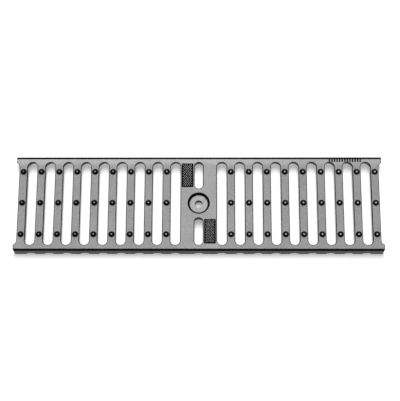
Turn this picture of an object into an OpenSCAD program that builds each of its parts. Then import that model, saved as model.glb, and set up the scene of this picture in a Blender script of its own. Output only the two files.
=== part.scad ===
// Slotted grate for a drainage channel, one iron casting.
// The origin is at the middle of the underside. X runs along the channel, Y across it, Z up.

/* [Overall] */
// Length of the grate, end to end
length = 500; // [440:0.5:600]
// Width across the two rims, at the tread
width = 133; // [115:0.5:180]
// Height from the bearing strips to the tread
height = 22; // [18:0.5:32]

/* [Rims] */
// Width of a rim between its outer edge and the tips of the slots
rim_land = 8; // [6:0.1:12]
// Rounding of the outer edges along the tread
rim_round = 3.5; // [0.8:0.1:4]
// Rounding of the four corners, seen from above
corner_round = 2.5; // [1:0.1:5]
// Draft of the outer faces, in degrees
side_draft = 2.2; // [1:0.1:4]
// Width of the bearing strip under each rim
bearing_w = 12; // [10:0.5:16]
// Radius of the drain arch under each slot
arch_r = 6; // [3:0.1:8]

/* [Slots and bars] */
// Number of full slots on each side of the centre panel
slots_each_side = 9; // [6:1:10]
// Clear width of a full slot
slot_w = 13.1; // [9:0.1:15]
// Draft of the bars' walls, in degrees
slot_draft = 4; // [2:0.5:11]
// Draft of the slots' round ends, in degrees
end_draft = 10; // [3:0.5:11]
// Rounding of the slot edges along the tread
slot_round = 1.4; // [0.6:0.1:1.6]
// Depth of the half slot in each end of the grate
end_recess = 4.3; // [2:0.1:6]
// Clearance of the bars above the bearing strips
bar_rise = 3; // [1:0.1:6]

/* [Centre panel] */
// Width of the centre panel between its two full slots
panel_w = 49.8; // [46:0.2:70]
// Clear width of the two short slots
short_slot_w = 11.5; // [8:0.1:13]
// Length of the solid bridge between the short slots
bridge = 42; // [36:0.5:60]
// Depth of the two tread pads
pad_depth = 0.6; // [0.2:0.1:1]
// Border between a tread pad and the edges around it
pad_border = 1.6; // [1.2:0.1:3]
// Corner radius of a tread pad
pad_round = 1; // [0.5:0.1:3]

/* [Bolt seat] */
// Diameter of the seat at the tread
seat_d = 29.6; // [26:0.1:33]
// Diameter of the seat's flat floor
seat_floor_d = 24; // [18:0.1:25.5]
// Depth of the seat's floor below the tread
seat_depth = 4.5; // [2:0.1:7]
// Diameter of the bolt hole
bolt_d = 10.5; // [8:0.1:14]
// Diameter of the boss round the bolt hole, under the bridge
boss_d = 26; // [20:0.1:32]
// Diameter of the recess under the bolt hole
under_d = 18; // [12:0.5:18]
// Height of the recess under the bolt hole
under_h = 7.5; // [2:0.5:9]

/* [Studs] */
// Diameter of a stud at its foot
stud_d = 7.4; // [5:0.1:8]
// Height of a stud above the tread
stud_h = 2.5; // [1.5:0.1:3.2]
// Distance of the outer stud rows from the tips of the slots
stud_inset = 14.2; // [10:0.1:25]

/* [Hidden] */

$fn = 48;
// How far a cutter runs past the face that it cuts
past = 1;
// Straight steps along each rounded edge
round_steps = 4;

half_l = length / 2;
half_w = width / 2;
tip_y = half_w - rim_land;
pitch = (half_l - panel_w / 2 - end_recess) / slots_each_side;
bar_w = pitch - slot_w;
leg_w = (panel_w - short_slot_w) / 2;
leg_x = (short_slot_w + leg_w) / 2;
short_l = tip_y - bridge / 2;
short_y = (tip_y + bridge / 2) / 2;
stud_rows = [-(tip_y - stud_inset), 0, tip_y - stud_inset];

// Middle of a full slot, and of the bar beyond it, counted outwards from the panel
function slot_x(i) = panel_w / 2 + slot_w / 2 + i * pitch;
function bar_x(i) = slot_x(i) + (slot_w + bar_w) / 2;

// Right half of the section of a block with drafted sides and rounded upper edges
function block_side(half, draft, r) = concat(
    [[half - height * tan(draft), 0]],
    [for (i = [0 : round_steps])
        let (a = draft + i * (90 - draft) / round_steps)
        [half - r + r * cos(a), height - r + r * sin(a)]]
);

// Right half of the section of a drafted opening, with the tread's edge rounded over it
function opening_side(half, draft, r) = concat(
    [[half + (height - r + past) * tan(draft), -past]],
    [for (i = [0 : round_steps])
        let (a = i * 90 / round_steps)
        [half + r - r * cos(a), height - r + r * sin(a)]],
    [[half + r, height + past]]
);

// The points of a half section, mirrored and taken in the other order
function mirrored(side) = [for (i = [len(side) - 1 : -1 : 0]) [-side[i][0], side[i][1]]];

module block_section(half, draft, r) {
    side = block_side(half, draft, r);
    polygon(concat(side, mirrored(side)));
}

// Outline of the grate seen from above
module plan() {
    square([length - 2 * corner_round, width], center = true);
    square([length, width - 2 * corner_round], center = true);
    for (x = [-1, 1], y = [-1, 1])
        translate([x * (half_l - corner_round), y * (half_w - corner_round)])
            circle(corner_round);
}

// The whole casting before its openings are cut
module blank() {
    intersection() {
        rotate([90, 0, 90])
            linear_extrude(length, center = true)
                block_section(half_w, side_draft, rim_round);
        rotate([90, 0, 0])
            linear_extrude(width, center = true)
                block_section(half_l, side_draft, slot_round);
        linear_extrude(height)
            plan();
    }
}

// A slot with round ends, l from tip to tip, that widens downwards, most of all at its ends
module slot(w, l) {
    side = opening_side(w / 2, slot_draft, slot_round);
    for (y = [-1, 1])
        translate([0, y * (l - w) / 2, 0])
            rotate_extrude()
                polygon(concat([[0, -past]], opening_side(w / 2, end_draft, slot_round), [[0, height + past]]));
    rotate([90, 0, 0])
        linear_extrude(l - w, center = true)
            polygon(concat(side, mirrored(side)));
}

// Full slots on both sides, the half slots in the ends and the two short slots
module slots() {
    for (s = [-1, 1]) {
        for (i = [0 : slots_each_side - 1])
            translate([s * slot_x(i), 0, 0])
                slot(slot_w, 2 * tip_y);
        translate([s * (half_l - end_recess + slot_w / 2), 0, 0])
            slot(slot_w, 2 * tip_y);
        translate([0, s * short_y, 0])
            slot(short_slot_w, short_l);
    }
}

// Arches under the rims, one at each end of every slot
module arches() {
    reach = rim_land + slot_w / 2;
    for (s = [-1, 1], x = concat([0], [for (i = [0 : slots_each_side - 1], t = [-1, 1]) t * slot_x(i)]))
        translate([x, s * (half_w - reach / 2 + past), 0])
            rotate([90, 0, 0])
                cylinder(h = reach, r = arch_r, center = true);
}

// Space under the bars, between the bearing strips and round the boss
module underside() {
    difference() {
        translate([0, 0, (bar_rise - past) / 2])
            cube([length + 2 * past, width - 2 * bearing_w, bar_rise + past], center = true);
        translate([0, 0, -2 * past])
            cylinder(h = bar_rise + 4 * past, d = boss_d);
    }
}

// Tapered seat for the head of the locking bolt, the bolt's hole and the recess under it
module bolt_seat() {
    rise = height - seat_depth;
    flare = (seat_d - seat_floor_d) / 2 / seat_depth;
    rotate_extrude()
        polygon([
            [0, rise],
            [seat_floor_d / 2, rise],
            [seat_d / 2 + flare * past, height + past],
            [0, height + past]
        ]);
    translate([0, 0, -past])
        cylinder(h = height + 2 * past, d = bolt_d);
    translate([0, 0, -past])
        cylinder(h = under_h + past, d = under_d);
}

// Shallow sunk pads for the tread pattern, on opposite legs of the panel
module tread_pads() {
    pad_w = leg_w - 2 * pad_border;
    pad_l = short_l - 2 * pad_border;
    for (s = [-1, 1])
        translate([-s * leg_x, s * short_y, height - pad_depth])
            linear_extrude(pad_depth + past) {
                square([pad_w - 2 * pad_round, pad_l], center = true);
                square([pad_w, pad_l - 2 * pad_round], center = true);
                for (x = [-1, 1], y = [-1, 1])
                    translate([x * (pad_w / 2 - pad_round), y * (pad_l / 2 - pad_round)])
                        circle(pad_round);
            }
}

// Domed anti-slip studs, the caps of balls that are sunk in the bars
module studs() {
    ball_r = (pow(stud_d / 2, 2) + pow(stud_h, 2)) / (2 * stud_h);
    for (s = [-1, 1], i = [0 : slots_each_side - 1], y = stud_rows)
        translate([s * bar_x(i), y, height + stud_h - ball_r])
            sphere(ball_r);
}

// The casting in one piece
module grate() {
    color("dimgray") {
        difference() {
            blank();
            slots();
            arches();
            underside();
            bolt_seat();
            tread_pads();
        }
        studs();
    }
}

grate();
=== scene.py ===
import math

import bmesh
import bpy
from mathutils import Matrix, Vector


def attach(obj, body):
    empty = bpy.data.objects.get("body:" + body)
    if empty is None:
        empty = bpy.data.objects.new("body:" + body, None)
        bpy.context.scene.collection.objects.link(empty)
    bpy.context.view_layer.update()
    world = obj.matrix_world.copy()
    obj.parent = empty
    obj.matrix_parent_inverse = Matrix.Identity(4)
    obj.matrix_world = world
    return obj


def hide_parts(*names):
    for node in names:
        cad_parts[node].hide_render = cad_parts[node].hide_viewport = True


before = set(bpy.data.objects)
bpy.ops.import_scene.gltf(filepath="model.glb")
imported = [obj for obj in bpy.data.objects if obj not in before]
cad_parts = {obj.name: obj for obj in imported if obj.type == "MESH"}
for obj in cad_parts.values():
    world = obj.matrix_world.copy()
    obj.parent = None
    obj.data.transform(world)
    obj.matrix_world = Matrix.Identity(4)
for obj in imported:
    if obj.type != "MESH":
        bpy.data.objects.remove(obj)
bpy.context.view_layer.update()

mm = 0.001
smoothAngle = math.radians(35.0)


def deselectAll():
    bpy.ops.object.select_all(action="DESELECT")


def selectOnly(piece):
    deselectAll()
    piece.select_set(True)
    bpy.context.view_layer.objects.active = piece


def applyPlace(piece):
    selectOnly(piece)
    bpy.ops.object.transform_apply(location=True, rotation=True, scale=True)


def applyModifiers(piece):
    selectOnly(piece)
    for modifier in list(piece.modifiers):
        bpy.ops.object.modifier_apply(modifier=modifier.name)


def repeatPiece(piece, count, offset):
    repeat = piece.modifiers.new("repeat", "ARRAY")
    repeat.count = count
    repeat.use_relative_offset = False
    repeat.use_constant_offset = True
    repeat.constant_offset_displace = offset
    applyModifiers(piece)


# Bevels each edge that has an end above this height
def bevelUpperEdges(piece, height, width):
    selectOnly(piece)
    bpy.ops.object.mode_set(mode="EDIT")
    bpy.ops.mesh.select_all(action="DESELECT")
    mesh = bmesh.from_edit_mesh(piece.data)
    for edge in mesh.edges:
        edge.select = any(v.co.z > height for v in edge.verts)
    bmesh.update_edit_mesh(piece.data)
    bpy.ops.mesh.bevel(offset=width, segments=2, affect="EDGES")
    bpy.ops.object.mode_set(mode="OBJECT")


def shadeSmooth(piece):
    selectOnly(piece)
    bpy.ops.object.shade_smooth_by_angle(angle=smoothAngle)


def finishPiece(piece, name, material):
    piece.name = name
    piece.data.name = name
    piece.data.materials.clear()
    piece.data.materials.append(material)
    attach(piece, "root")


def inMm(limits):
    return [limit * mm for limit in limits]


# Links a socket to another one, or sets it to a plain value
def feed(tree, socket, value):
    if isinstance(value, bpy.types.NodeSocket):
        tree.links.new(value, socket)
    else:
        socket.default_value = value


def newGroup(name, inputs, outputs):
    group = bpy.data.node_groups.new(name, "ShaderNodeTree")
    for label in inputs:
        kind = "NodeSocketVector" if label == "Vector" else "NodeSocketFloat"
        group.interface.new_socket(label, in_out="INPUT", socket_type=kind)
    for label in outputs:
        group.interface.new_socket(label, in_out="OUTPUT", socket_type="NodeSocketFloat")
    return group, group.nodes.new("NodeGroupInput"), group.nodes.new("NodeGroupOutput")


def addGroup(tree, group, vector=None):
    node = tree.nodes.new("ShaderNodeGroup")
    node.node_tree = group
    if vector is not None:
        tree.links.new(vector, node.inputs["Vector"])
    return node


def newMaterial(name):
    material = bpy.data.materials.new(name)
    material.use_nodes = True
    tree = material.node_tree
    tree.nodes.clear()
    return material, tree, tree.nodes.new("ShaderNodeOutputMaterial")


def mathNode(tree, operation, *values, clamp=False):
    node = tree.nodes.new("ShaderNodeMath")
    node.operation = operation
    node.use_clamp = clamp
    for socket, value in zip(node.inputs, values):
        feed(tree, socket, value)
    return node.outputs[0]


# Length of the diagonal over two sides
def diagonal(tree, first, second):
    squares = [mathNode(tree, "POWER", mathNode(tree, "ABSOLUTE", side), 2.0) for side in (first, second)]
    return mathNode(tree, "SQRT", mathNode(tree, "ADD", *squares))


def rangeNode(tree, value, limits, outLow=0.0, outHigh=1.0, smooth=True):
    node = tree.nodes.new("ShaderNodeMapRange")
    node.interpolation_type = "SMOOTHSTEP" if smooth else "LINEAR"
    labels = ("Value", "From Min", "From Max", "To Min", "To Max")
    for label, given in zip(labels, (value, *limits, outLow, outHigh)):
        feed(tree, node.inputs[label], given)
    return node.outputs["Result"]


def noiseNode(tree, vector, scale, detail, roughness):
    node = tree.nodes.new("ShaderNodeTexNoise")
    tree.links.new(vector, node.inputs["Vector"])
    node.inputs["Scale"].default_value = scale
    node.inputs["Detail"].default_value = detail
    node.inputs["Roughness"].default_value = roughness
    return node.outputs["Fac"]


def splitVector(tree, vector):
    node = tree.nodes.new("ShaderNodeSeparateXYZ")
    tree.links.new(vector, node.inputs[0])
    return node.outputs


def mixColour(tree, factor, first, second):
    node = tree.nodes.new("ShaderNodeMix")
    node.data_type = "RGBA"
    # this node's sockets for colours are 6 and 7 going in, and 2 going out
    feed(tree, node.inputs[0], factor)
    feed(tree, node.inputs[6], first)
    feed(tree, node.inputs[7], second)
    return node.outputs[2]


def mixShaders(tree, factor, first, second):
    node = tree.nodes.new("ShaderNodeMixShader")
    for socket, value in zip(node.inputs, (factor, first, second)):
        tree.links.new(value, socket)
    return node.outputs[0]


# Scale per metre, detail and roughness of each noise, and the parts of two of them in the height
sandGrain = {
    "mottle": (420.0, 2.0, 0.55), "fine": (1500.0, 2.0, 0.6), "cloud": (34.0, 3.0, 0.55),
    "mottleHeight": 0.6, "fineHeight": 0.4,
}


# Sand-cast skin: mottle for colour and roughness, height for bump
def makeSandCastGrain():
    group, given, result = newGroup("sandCastGrain", ["Vector"], ["Mottle", "Fine", "Cloud", "Height"])
    place = given.outputs["Vector"]
    mottle = noiseNode(group, place, *sandGrain["mottle"])
    fine = noiseNode(group, place, *sandGrain["fine"])
    cloud = noiseNode(group, place, *sandGrain["cloud"])
    mottleHeight = mathNode(group, "MULTIPLY", mottle, sandGrain["mottleHeight"])
    fineHeight = mathNode(group, "MULTIPLY", fine, sandGrain["fineHeight"])
    height = mathNode(group, "ADD", mottleHeight, fineHeight)
    for label, value in (("Mottle", mottle), ("Fine", fine), ("Cloud", cloud), ("Height", height)):
        group.links.new(value, result.inputs[label])
    return group


# Tones are linear greys. Places and distances are in mm, each pair running from none to full.
ironLook = {
    "coolness": 1.02,  # of blue against red and green
    "shares": (("Mottle", 0.45), ("Fine", 0.3), ("Cloud", 0.25)),  # of each grain in the tone
    "bareTone": 0.292, "bareSpread": 0.24, "bareRange": (0.3, 0.7),  # bare iron, and how far it swings
    "panel": (31.0, 25.5), "panelLift": 0.13,  # lighter on the panel
    "farRimHighlight": (50.0, 60.0), "farHighlightLift": 0.42, "farHighlightRight": 0.6,  # and a painted highlight on the far rim, weaker to the right
    "right": (40.0, 170.0), "rightLoss": 0.05,
    "shadedTiltCoat": (0.003, 0.008), "coatWall": (0.034, 0.078),  # black coat on roundings and on walls, with painted shade making the roundings darker
    "coatRange": (0.35, 0.65),
    "wallFacing": (0.30, 0.06), "wallsBelow": (18.4, 18.0),  # all faces below this have the walls' coat
    "wallGloss": 0.32, "glossRough": 0.38, "specular": 0.01,
    "coatRough": 0.50, "wornRough": 0.55, "roughSpread": 0.25, "roughLess": 0.12, "wornMetal": 0.08,
    "ragged": 0.05,  # how far the mottle moves the edge of the wear
    "beyondFoot": (4.05, 4.6),  # black foot round each stud, from its axis: coat that soles miss, and painted shade at the foot
    "tip": (1.45, 0.7), "tipHighlight": 0.5,  # polished tip of a stud, with a painted highlight that makes it lighter than the tread
    "tipHighlightGrowth": 0.0018,  # and the painted highlight wider to the right
    "bump": 0.7, "bumpDepth": 0.0003,
}


# Where feet and tyres wear the coat off, and painted light: faces that look up are light and tilted ones
# stay dark, with a ragged edge
def makeTreadWearAndLight():
    group, given, result = newGroup("treadWearAndLight", ["Facing", "Ragged", "Start", "Full"], ["Worn"])
    # the mottle swings round a half
    swing = mathNode(group, "SUBTRACT", given.outputs["Ragged"], 0.5)
    ragged = mathNode(group, "MULTIPLY", swing, ironLook["ragged"])
    facing = mathNode(group, "ADD", given.outputs["Facing"], ragged)
    wornAndLit = rangeNode(group, facing, (given.outputs["Start"], given.outputs["Full"]))
    group.links.new(wornAndLit, result.inputs["Worn"])
    return group


studLayout = {
    "firstX": 43.717, "pitch": 24.533, "rowY": 44.3, "barsFrom": 31.5,
    "shiftX": 0.1, "shiftY": 0.3,  # the black foot, partly painted shade, lies a little to the far side of the stud
}


# Distance to the nearest stud, and 1 where there are bars
def makeStudRings():
    group, given, result = newGroup("studRings", ["Vector"], ["Distance", "Bars"])
    place = splitVector(group, given.outputs["Vector"])
    halfPitch = studLayout["pitch"] / 2 * mm
    movedX = mathNode(group, "SUBTRACT", place["X"], studLayout["shiftX"] * mm)
    fromMiddle = mathNode(group, "ABSOLUTE", movedX)
    fromFirst = mathNode(group, "SUBTRACT", fromMiddle, studLayout["firstX"] * mm)
    across = mathNode(group, "WRAP", fromFirst, halfPitch, -halfPitch)
    movedY = mathNode(group, "SUBTRACT", place["Y"], studLayout["shiftY"] * mm)
    fromAxis = mathNode(group, "ABSOLUTE", movedY)
    fromOuterRow = mathNode(group, "SUBTRACT", fromAxis, studLayout["rowY"] * mm)
    along = mathNode(group, "MINIMUM", fromAxis, mathNode(group, "ABSOLUTE", fromOuterRow))
    group.links.new(diagonal(group, across, along), result.inputs["Distance"])
    bars = mathNode(group, "GREATER_THAN", fromMiddle, studLayout["barsFrom"] * mm)
    group.links.new(bars, result.inputs["Bars"])
    return group


sandCastGrain = makeSandCastGrain()
treadWearAndLight = makeTreadWearAndLight()
studRings = makeStudRings()


def grey(level):
    return (level, level, level * ironLook["coolness"], 1.0)


# How much lighter or darker the bare iron is from place to place on the tread, with a painted highlight
# on the far rim
def treadTone(tree, place):
    fromMiddle = mathNode(tree, "ABSOLUTE", place["X"])
    panel = rangeNode(tree, fromMiddle, inMm(ironLook["panel"]), 0.0, ironLook["panelLift"])
    right = rangeNode(tree, place["X"], inMm(ironLook["right"]))
    farRimHighlight = rangeNode(tree, place["Y"], inMm(ironLook["farRimHighlight"]), 0.0, ironLook["farHighlightLift"])
    lessRight = rangeNode(tree, right, (0.0, 1.0), 1.0, ironLook["farHighlightRight"], smooth=False)
    farRimHighlight = mathNode(tree, "MULTIPLY", farRimHighlight, lessRight)
    lift = mathNode(tree, "ADD", mathNode(tree, "MAXIMUM", panel, farRimHighlight), 1.0)
    return mathNode(tree, "SUBTRACT", lift, mathNode(tree, "MULTIPLY", right, ironLook["rightLoss"]))


# 0 on the black foot of every stud, unworn coat and painted shade, and 1 elsewhere, and the studs'
# polished tips, with their painted highlight, alone
def studWearShadeAndHighlight(tree, coordinates, place):
    rings = addGroup(tree, studRings, coordinates.outputs["Object"])
    fromAxis = rings.outputs["Distance"]
    beyondFoot = rangeNode(tree, fromAxis, inMm(ironLook["beyondFoot"]))
    highlightGrowth = mathNode(tree, "MULTIPLY", place["X"], ironLook["tipHighlightGrowth"])
    fromTip = mathNode(tree, "SUBTRACT", fromAxis, highlightGrowth)
    tip = rangeNode(tree, fromTip, inMm(ironLook["tip"]))
    tip = mathNode(tree, "MULTIPLY", tip, rings.outputs["Bars"])
    noBars = mathNode(tree, "SUBTRACT", 1.0, rings.outputs["Bars"])
    return mathNode(tree, "MAXIMUM", mathNode(tree, "MAXIMUM", beyondFoot, tip), noBars), tip


# Painted light: the slots' far edges, which face the near side, are light further over
def farSlotPaintedLight(tree, facing, place, tread):
    farHalf = rangeNode(tree, place["Y"], inMm(tread["farHalf"]))
    towardsNear = rangeNode(tree, facing["Y"], tread["towardsNear"], 0.0, tread["farSlotPaintedLight"])
    return mathNode(tree, "MULTIPLY", farHalf, towardsNear)


# Painted light reaches the seat's floor, under the bolt's head, as on the worn tread, but no wall of the
# seat; the far edge is left black as painted shade
def seatAndEdge(tree, place, reach, tread):
    radius = diagonal(tree, place["X"], place["Y"])
    inSeat = mathNode(tree, "LESS_THAN", radius, tread["seatFloor"] * mm)
    beyondSeat = rangeNode(tree, radius, inMm(tread["beyondSeat"]))
    reach = mathNode(tree, "MAXIMUM", mathNode(tree, "MULTIPLY", reach, beyondSeat), inSeat)
    return mathNode(tree, "MULTIPLY", reach, rangeNode(tree, place["Y"], inMm(tread["nearOfEdge"])))


# The wear and the painted light on upward faces start and are full at the upward parts of the normal in
# wear, and at the heights in reachZ
def makeWornIron(name, wear, reachZ, tread=None, polished=1.0):
    material, tree, output = newMaterial(name)
    shader = tree.nodes.new("ShaderNodeBsdfPrincipled")
    tree.links.new(shader.outputs[0], output.inputs["Surface"])
    coordinates = tree.nodes.new("ShaderNodeTexCoord")
    facing = splitVector(tree, coordinates.outputs["Normal"])
    place = splitVector(tree, coordinates.outputs["Object"])
    grain = addGroup(tree, sandCastGrain, coordinates.outputs["Object"])

    upward = facing["Z"]
    # faces below the tread keep the dark coat: unworn, and painted shade in recesses such as the pad
    # floors
    reach = rangeNode(tree, place["Z"], inMm(reachZ))
    if tread:
        upward = mathNode(tree, "ADD", upward, farSlotPaintedLight(tree, facing, place, tread))
        reach = seatAndEdge(tree, place, reach, tread)
        studMask, tip = studWearShadeAndHighlight(tree, coordinates, place)
        reach = mathNode(tree, "MULTIPLY", reach, studMask)
    polishAndLight = addGroup(tree, treadWearAndLight)
    feed(tree, polishAndLight.inputs["Facing"], upward)
    feed(tree, polishAndLight.inputs["Ragged"], grain.outputs["Mottle"])
    feed(tree, polishAndLight.inputs["Start"], wear[0])
    feed(tree, polishAndLight.inputs["Full"], wear[1])
    # wear and painted light: upward faces get the light bare iron, the rest the dark coat
    wornAndLit = mathNode(tree, "MULTIPLY", polishAndLight.outputs["Worn"], reach, clamp=True)

    mottle, fine, cloud = (
        mathNode(tree, "MULTIPLY", grain.outputs[label], share) for label, share in ironLook["shares"]
    )
    tone = mathNode(tree, "ADD", mathNode(tree, "ADD", mottle, fine), cloud)
    darkest = ironLook["bareTone"] * polished * (1 - ironLook["bareSpread"])
    lightest = ironLook["bareTone"] * polished * (1 + ironLook["bareSpread"])
    bare = rangeNode(tree, tone, ironLook["bareRange"], darkest, lightest, smooth=False)
    if tread:
        # painted highlight on the studs' tips
        tipHighlight = mathNode(tree, "MULTIPLY", tip, ironLook["tipHighlight"])
        bare = mathNode(tree, "MULTIPLY", bare, mathNode(tree, "ADD", treadTone(tree, place), tipHighlight))
    bare = mixColour(tree, bare, grey(0.0), grey(1.0))

    patchy = rangeNode(tree, tone, ironLook["coatRange"], smooth=False)
    upright = rangeNode(tree, facing["Z"], ironLook["wallFacing"])
    below = rangeNode(tree, place["Z"], inMm(ironLook["wallsBelow"]))
    upright = mathNode(tree, "MAXIMUM", upright, below)
    wall = mixColour(tree, patchy, *(grey(level) for level in ironLook["coatWall"]))
    # painted shade: tilted faces get a darker coat than upright walls
    shadedTilt = mixColour(tree, patchy, *(grey(level) for level in ironLook["shadedTiltCoat"]))
    coat = mixColour(tree, upright, shadedTilt, wall)
    feed(tree, shader.inputs["Base Color"], mixColour(tree, wornAndLit, coat, bare))

    roughStep = ironLook["wornRough"] - ironLook["coatRough"]
    rough = mathNode(tree, "MULTIPLY", wornAndLit, roughStep)
    rough = mathNode(tree, "ADD", rough, ironLook["coatRough"] - ironLook["roughLess"])
    fineRough = mathNode(tree, "MULTIPLY", grain.outputs["Fine"], ironLook["roughSpread"])
    feed(tree, shader.inputs["Roughness"], mathNode(tree, "ADD", rough, fineRough))
    feed(tree, shader.inputs["Metallic"], mathNode(tree, "MULTIPLY", wornAndLit, ironLook["wornMetal"]))
    feed(tree, shader.inputs["Coat Weight"], mathNode(tree, "MULTIPLY", upright, ironLook["wallGloss"]))
    feed(tree, shader.inputs["Coat Roughness"], ironLook["glossRough"])
    feed(tree, shader.inputs["Specular IOR Level"], ironLook["specular"])

    bump = tree.nodes.new("ShaderNodeBump")
    bump.inputs["Strength"].default_value = ironLook["bump"]
    bump.inputs["Distance"].default_value = ironLook["bumpDepth"]
    tree.links.new(grain.outputs["Height"], bump.inputs["Height"])
    tree.links.new(bump.outputs["Normal"], shader.inputs["Normal"])
    return material


# What only the tread has, in mm and as parts of the normal
treadWorn = {
    "farHalf": (20.0, 24.0), "towardsNear": (-0.05, -0.30), "farSlotPaintedLight": 0.2,
    "seatFloor": 12.6, "beyondSeat": (14.9, 15.4), "nearOfEdge": (63.1, 62.5),
}
treadIron = makeWornIron("treadIron", (0.93, 0.985), (21.55, 21.95), treadWorn)
padIron = makeWornIron("padIron", (0.90, 0.97), (22.2, 22.6), polished=1.9)
strokeIron = makeWornIron("strokeIron", (0.90, 0.97), (23.0, 23.5))
print("materials made")

# Lengths are in mm and angles in degrees
casting = {
    "mergeDistance": 0.02, "flatAngle": 0.8,  # faces closer to level than this are joined
    "wallTop": 20.6, "wallsFromX": 19.5,  # where the slots' walls begin
    "barHalf": 5.7165, "barDraft": 4.0, "barDraftWanted": 6.6,  # half the width at the top of a wall
    "endY": 51.95, "endRadius": 6.55, "endDraft": 10.0, "endDraftWanted": 13.0,  # slots' round ends
    "wallNear": 0.06, "endNear": 0.12, "pastEnd": 0.01,  # how far off a point still counts as on them
}


def slope(draft):
    return math.tan(math.radians(draft))


# Signed distance from the middle of the nearest bar, or of the nearest slot
def fromNearest(x, firstX):
    return (x - firstX + studLayout["pitch"] / 2) % studLayout["pitch"] - studLayout["pitch"] / 2


# How far a point of a slot's wall moves along X and Y
def wallShift(x, y, depth):
    across = fromNearest(x, studLayout["firstX"] - studLayout["pitch"] / 2)
    along = y - casting["endY"]
    radius = math.hypot(across, along)
    offEnd = radius - casting["endRadius"] - depth * slope(casting["endDraft"])
    if abs(offEnd) < casting["endNear"] and along > -casting["endRadius"]:
        outward = depth * (slope(casting["endDraftWanted"]) - slope(casting["endDraft"])) / radius
        return across * outward, along * outward
    offset = fromNearest(x, studLayout["firstX"])
    offBar = abs(offset) - casting["barHalf"] + depth * slope(casting["barDraft"])
    if abs(offBar) < casting["wallNear"] and along < casting["pastEnd"]:
        inward = depth * (slope(casting["barDraftWanted"]) - slope(casting["barDraft"]))
        return -math.copysign(inward, offset), 0.0
    return 0.0, 0.0


# The slots' walls open downwards a little more than in the solid
def openSlots(piece):
    selectOnly(piece)
    bpy.ops.object.mode_set(mode="EDIT")
    mesh = bmesh.from_edit_mesh(piece.data)
    for vertex in mesh.verts:
        x, y, z = (abs(value) / mm for value in vertex.co)
        depth = casting["wallTop"] - z
        if depth > 0 and x > casting["wallsFromX"]:
            shiftX, shiftY = wallShift(x, y, depth)
            vertex.co.x *= 1 + shiftX / x
            vertex.co.y *= 1 + (shiftY / y if y else 0.0)
    bmesh.update_edit_mesh(piece.data)
    bpy.ops.object.mode_set(mode="OBJECT")


def makeCasting():
    piece = bpy.data.objects.new("grateCasting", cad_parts["grate"].data.copy())
    bpy.context.scene.collection.objects.link(piece)
    selectOnly(piece)
    bpy.ops.object.mode_set(mode="EDIT")
    bpy.ops.mesh.select_all(action="SELECT")
    bpy.ops.mesh.remove_doubles(threshold=casting["mergeDistance"] * mm)
    bpy.ops.mesh.dissolve_limited(angle_limit=math.radians(casting["flatAngle"]))
    bpy.ops.object.mode_set(mode="OBJECT")
    openSlots(piece)
    shadeSmooth(piece)
    weighted = piece.modifiers.new("flatFaces", "WEIGHTED_NORMAL")
    weighted.keep_sharp = True
    weighted.weight = 100
    applyModifiers(piece)
    return piece


grateCasting = makeCasting()
finishPiece(grateCasting, "grateCasting", treadIron)
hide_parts("grate")
print("casting made,", len(grateCasting.data.polygons), "faces")

treadPad = {
    "centres": (("treadPadFar", -15.325, 39.75), ("treadPadNear", 15.325, -39.75)),
    "floorZ": 21.4, "sunk": 0.05, "tipZ": 22.9, "edge": 0.12,
    "pitchX": 2.6, "pitchY": 3.6, "columns": 5, "rows": 9,
    "footShare": 1.0, "tipShare": 0.42,
}


# A four-sided spike with a blunt tip, its corners along X and Y
def addDiamond(centreX, centreY):
    deselectAll()
    depth = (treadPad["tipZ"] - treadPad["floorZ"] + treadPad["sunk"]) * mm
    bpy.ops.mesh.primitive_cone_add(
        vertices=4, radius1=treadPad["footShare"] / 2, radius2=treadPad["tipShare"] / 2, depth=1.0,
        location=(centreX * mm, centreY * mm, (treadPad["floorZ"] - treadPad["sunk"]) * mm + depth / 2),
        scale=(treadPad["pitchX"] * mm, treadPad["pitchY"] * mm, depth),
    )
    diamond = bpy.context.object
    # its middle is at 0 until its place is applied
    bevelUpperEdges(diamond, 0.0, treadPad["edge"] * mm)
    applyPlace(diamond)
    return diamond


def repeatDiamond(diamond, columns, rows):
    repeatPiece(diamond, columns, (treadPad["pitchX"] * mm, 0, 0))
    repeatPiece(diamond, rows, (0, treadPad["pitchY"] * mm, 0))


def makeTreadPad(name, centreX, centreY):
    firstX = centreX - treadPad["pitchX"] * (treadPad["columns"] - 1) / 2
    firstY = centreY - treadPad["pitchY"] * (treadPad["rows"] - 1) / 2
    wide = addDiamond(firstX, firstY)
    repeatDiamond(wide, treadPad["columns"], treadPad["rows"])
    between = addDiamond(firstX + treadPad["pitchX"] / 2, firstY + treadPad["pitchY"] / 2)
    repeatDiamond(between, treadPad["columns"] - 1, treadPad["rows"] - 1)
    selectOnly(wide)
    between.select_set(True)
    bpy.ops.object.join()
    shadeSmooth(wide)
    finishPiece(wide, name, padIron)
    print(name, "made,", len(wide.data.polygons), "faces")


for padName, padX, padY in treadPad["centres"]:
    makeTreadPad(padName, padX, padY)

rimStrokes = {
    "firstX": 179.0, "pitch": 3.5, "count": 13, "centreY": 61.25,
    "width": 2.0, "length": 4.7, "footZ": 21.2, "topZ": 22.5, "edge": 0.25,
}


def makeRimStrokes():
    deselectAll()
    height = rimStrokes["topZ"] - rimStrokes["footZ"]
    middleZ = (rimStrokes["footZ"] + height / 2) * mm
    bpy.ops.mesh.primitive_cube_add(
        size=1.0,
        location=(rimStrokes["firstX"] * mm, rimStrokes["centreY"] * mm, middleZ),
        scale=(rimStrokes["width"] * mm, rimStrokes["length"] * mm, height * mm),
    )
    stroke = bpy.context.object
    applyPlace(stroke)
    bevelUpperEdges(stroke, middleZ, rimStrokes["edge"] * mm)
    repeatPiece(stroke, rimStrokes["count"], (rimStrokes["pitch"] * mm, 0, 0))
    shadeSmooth(stroke)
    finishPiece(stroke, "rimStrokes", strokeIron)


makeRimStrokes()
print("rim strokes made")

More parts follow.
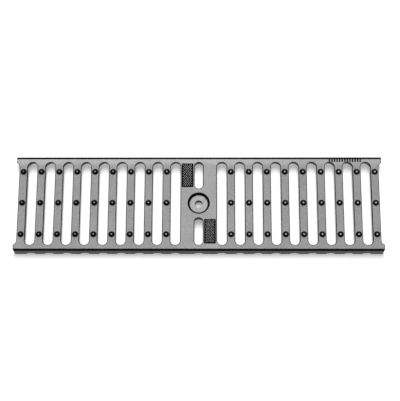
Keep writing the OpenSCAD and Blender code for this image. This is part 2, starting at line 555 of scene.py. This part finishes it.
# In metres. The floor fades to the background's white between two distances from the middle.
stage = {
    "floorSize": 12.0, "floorZ": -0.00005, "floorGrey": 0.85, "glow": 0.36, "fade": (0.42, 0.75),
    "background": 1.0, "fill": 0.32,
}


# 1 for the rays that see the background and the floor, 0 for those that carry their light
def backgroundRays(tree):
    path = tree.nodes.new("ShaderNodeLightPath")
    value = mathNode(tree, "MAXIMUM", path.outputs["Is Camera Ray"], path.outputs["Is Glossy Ray"])
    return mathNode(tree, "MAXIMUM", value, path.outputs["Is Transmission Ray"])


def whiteLight(tree, kind, strength):
    node = tree.nodes.new(kind)
    node.inputs["Color"].default_value = (1, 1, 1, 1)
    node.inputs["Strength"].default_value = strength
    return node.outputs[0]


def makeFloor():
    deselectAll()
    bpy.ops.mesh.primitive_plane_add(size=stage["floorSize"], location=(0, 0, stage["floorZ"]))
    floor = bpy.context.object
    applyPlace(floor)
    floor.name = "studioFloor"
    material, tree, output = newMaterial("studioFloor")
    matte = tree.nodes.new("ShaderNodeBsdfDiffuse")
    matte.inputs["Color"].default_value = (stage["floorGrey"],) * 3 + (1,)
    lit = tree.nodes.new("ShaderNodeAddShader")
    tree.links.new(matte.outputs[0], lit.inputs[0])
    tree.links.new(whiteLight(tree, "ShaderNodeEmission", stage["glow"]), lit.inputs[1])
    coordinates = tree.nodes.new("ShaderNodeTexCoord")
    length = tree.nodes.new("ShaderNodeVectorMath")
    length.operation = "LENGTH"
    tree.links.new(coordinates.outputs["Object"], length.inputs[0])
    fade = rangeNode(tree, length.outputs["Value"], stage["fade"])
    white = whiteLight(tree, "ShaderNodeEmission", stage["background"])
    seen = mixShaders(tree, fade, lit.outputs[0], white)
    whole = mixShaders(tree, backgroundRays(tree), matte.outputs[0], seen)
    tree.links.new(whole, output.inputs["Surface"])
    floor.data.materials.append(material)


def makeWorld():
    world = bpy.data.worlds.new("studioWorld")
    world.use_nodes = True
    tree = world.node_tree
    tree.nodes.clear()
    output = tree.nodes.new("ShaderNodeOutputWorld")
    fill = whiteLight(tree, "ShaderNodeBackground", stage["fill"])
    white = whiteLight(tree, "ShaderNodeBackground", stage["background"])
    tree.links.new(mixShaders(tree, backgroundRays(tree), fill, white), output.inputs["Surface"])
    bpy.context.scene.world = world


softBox = {"place": (0.02, 0.70, 3.5), "width": 0.25, "depth": 1.7, "watts": 94.0}


# Aimed at the middle of the grate
def makeSoftBox():
    lamp = bpy.data.lights.new("softBox", "AREA")
    lamp.shape = "RECTANGLE"
    lamp.size = softBox["width"]
    lamp.size_y = softBox["depth"]
    lamp.energy = softBox["watts"]
    thing = bpy.data.objects.new("softBox", lamp)
    bpy.context.scene.collection.objects.link(thing)
    thing.location = softBox["place"]
    thing.rotation_euler = (-Vector(softBox["place"])).to_track_quat("-Z", "Y").to_euler()


# Fitted to the photograph: where the camera stands round its target, and how it is turned
view = {
    "elevation": 72.772, "distance": 1.6277, "yaw": 1.879, "roll": -1.796,
    "target": (0.00179, 0.00328, 0.023), "focalPixels": 1200.0, "frameHeight": 401.0, "sensor": 36.0,
    "clipEnd": 50.0,
}


def makeCamera():
    elevation = math.radians(view["elevation"])
    yaw = math.radians(view["yaw"])
    roll = math.radians(view["roll"])
    back = Vector((
        math.sin(yaw) * math.cos(elevation),
        -math.cos(yaw) * math.cos(elevation),
        math.sin(elevation),
    ))
    right = (-back).cross(Vector((0, 0, 1))).normalized()
    up = right.cross(-back)
    turnedRight = right * math.cos(roll) + up * math.sin(roll)
    turnedUp = up * math.cos(roll) - right * math.sin(roll)
    camera = bpy.data.cameras.new("photoCamera")
    camera.sensor_width = view["sensor"]
    camera.lens = view["focalPixels"] / view["frameHeight"] * view["sensor"]
    camera.clip_end = view["clipEnd"]
    thing = bpy.data.objects.new("photoCamera", camera)
    bpy.context.scene.collection.objects.link(thing)
    turn = Matrix((turnedRight, turnedUp, back)).transposed().to_4x4()
    thing.matrix_world = Matrix.Translation(Vector(view["target"]) + back * view["distance"]) @ turn
    bpy.context.scene.camera = thing


makeFloor()
makeWorld()
makeSoftBox()
makeCamera()
bpy.context.scene.view_settings.view_transform = "Standard"
print("stage, lamp and camera made")
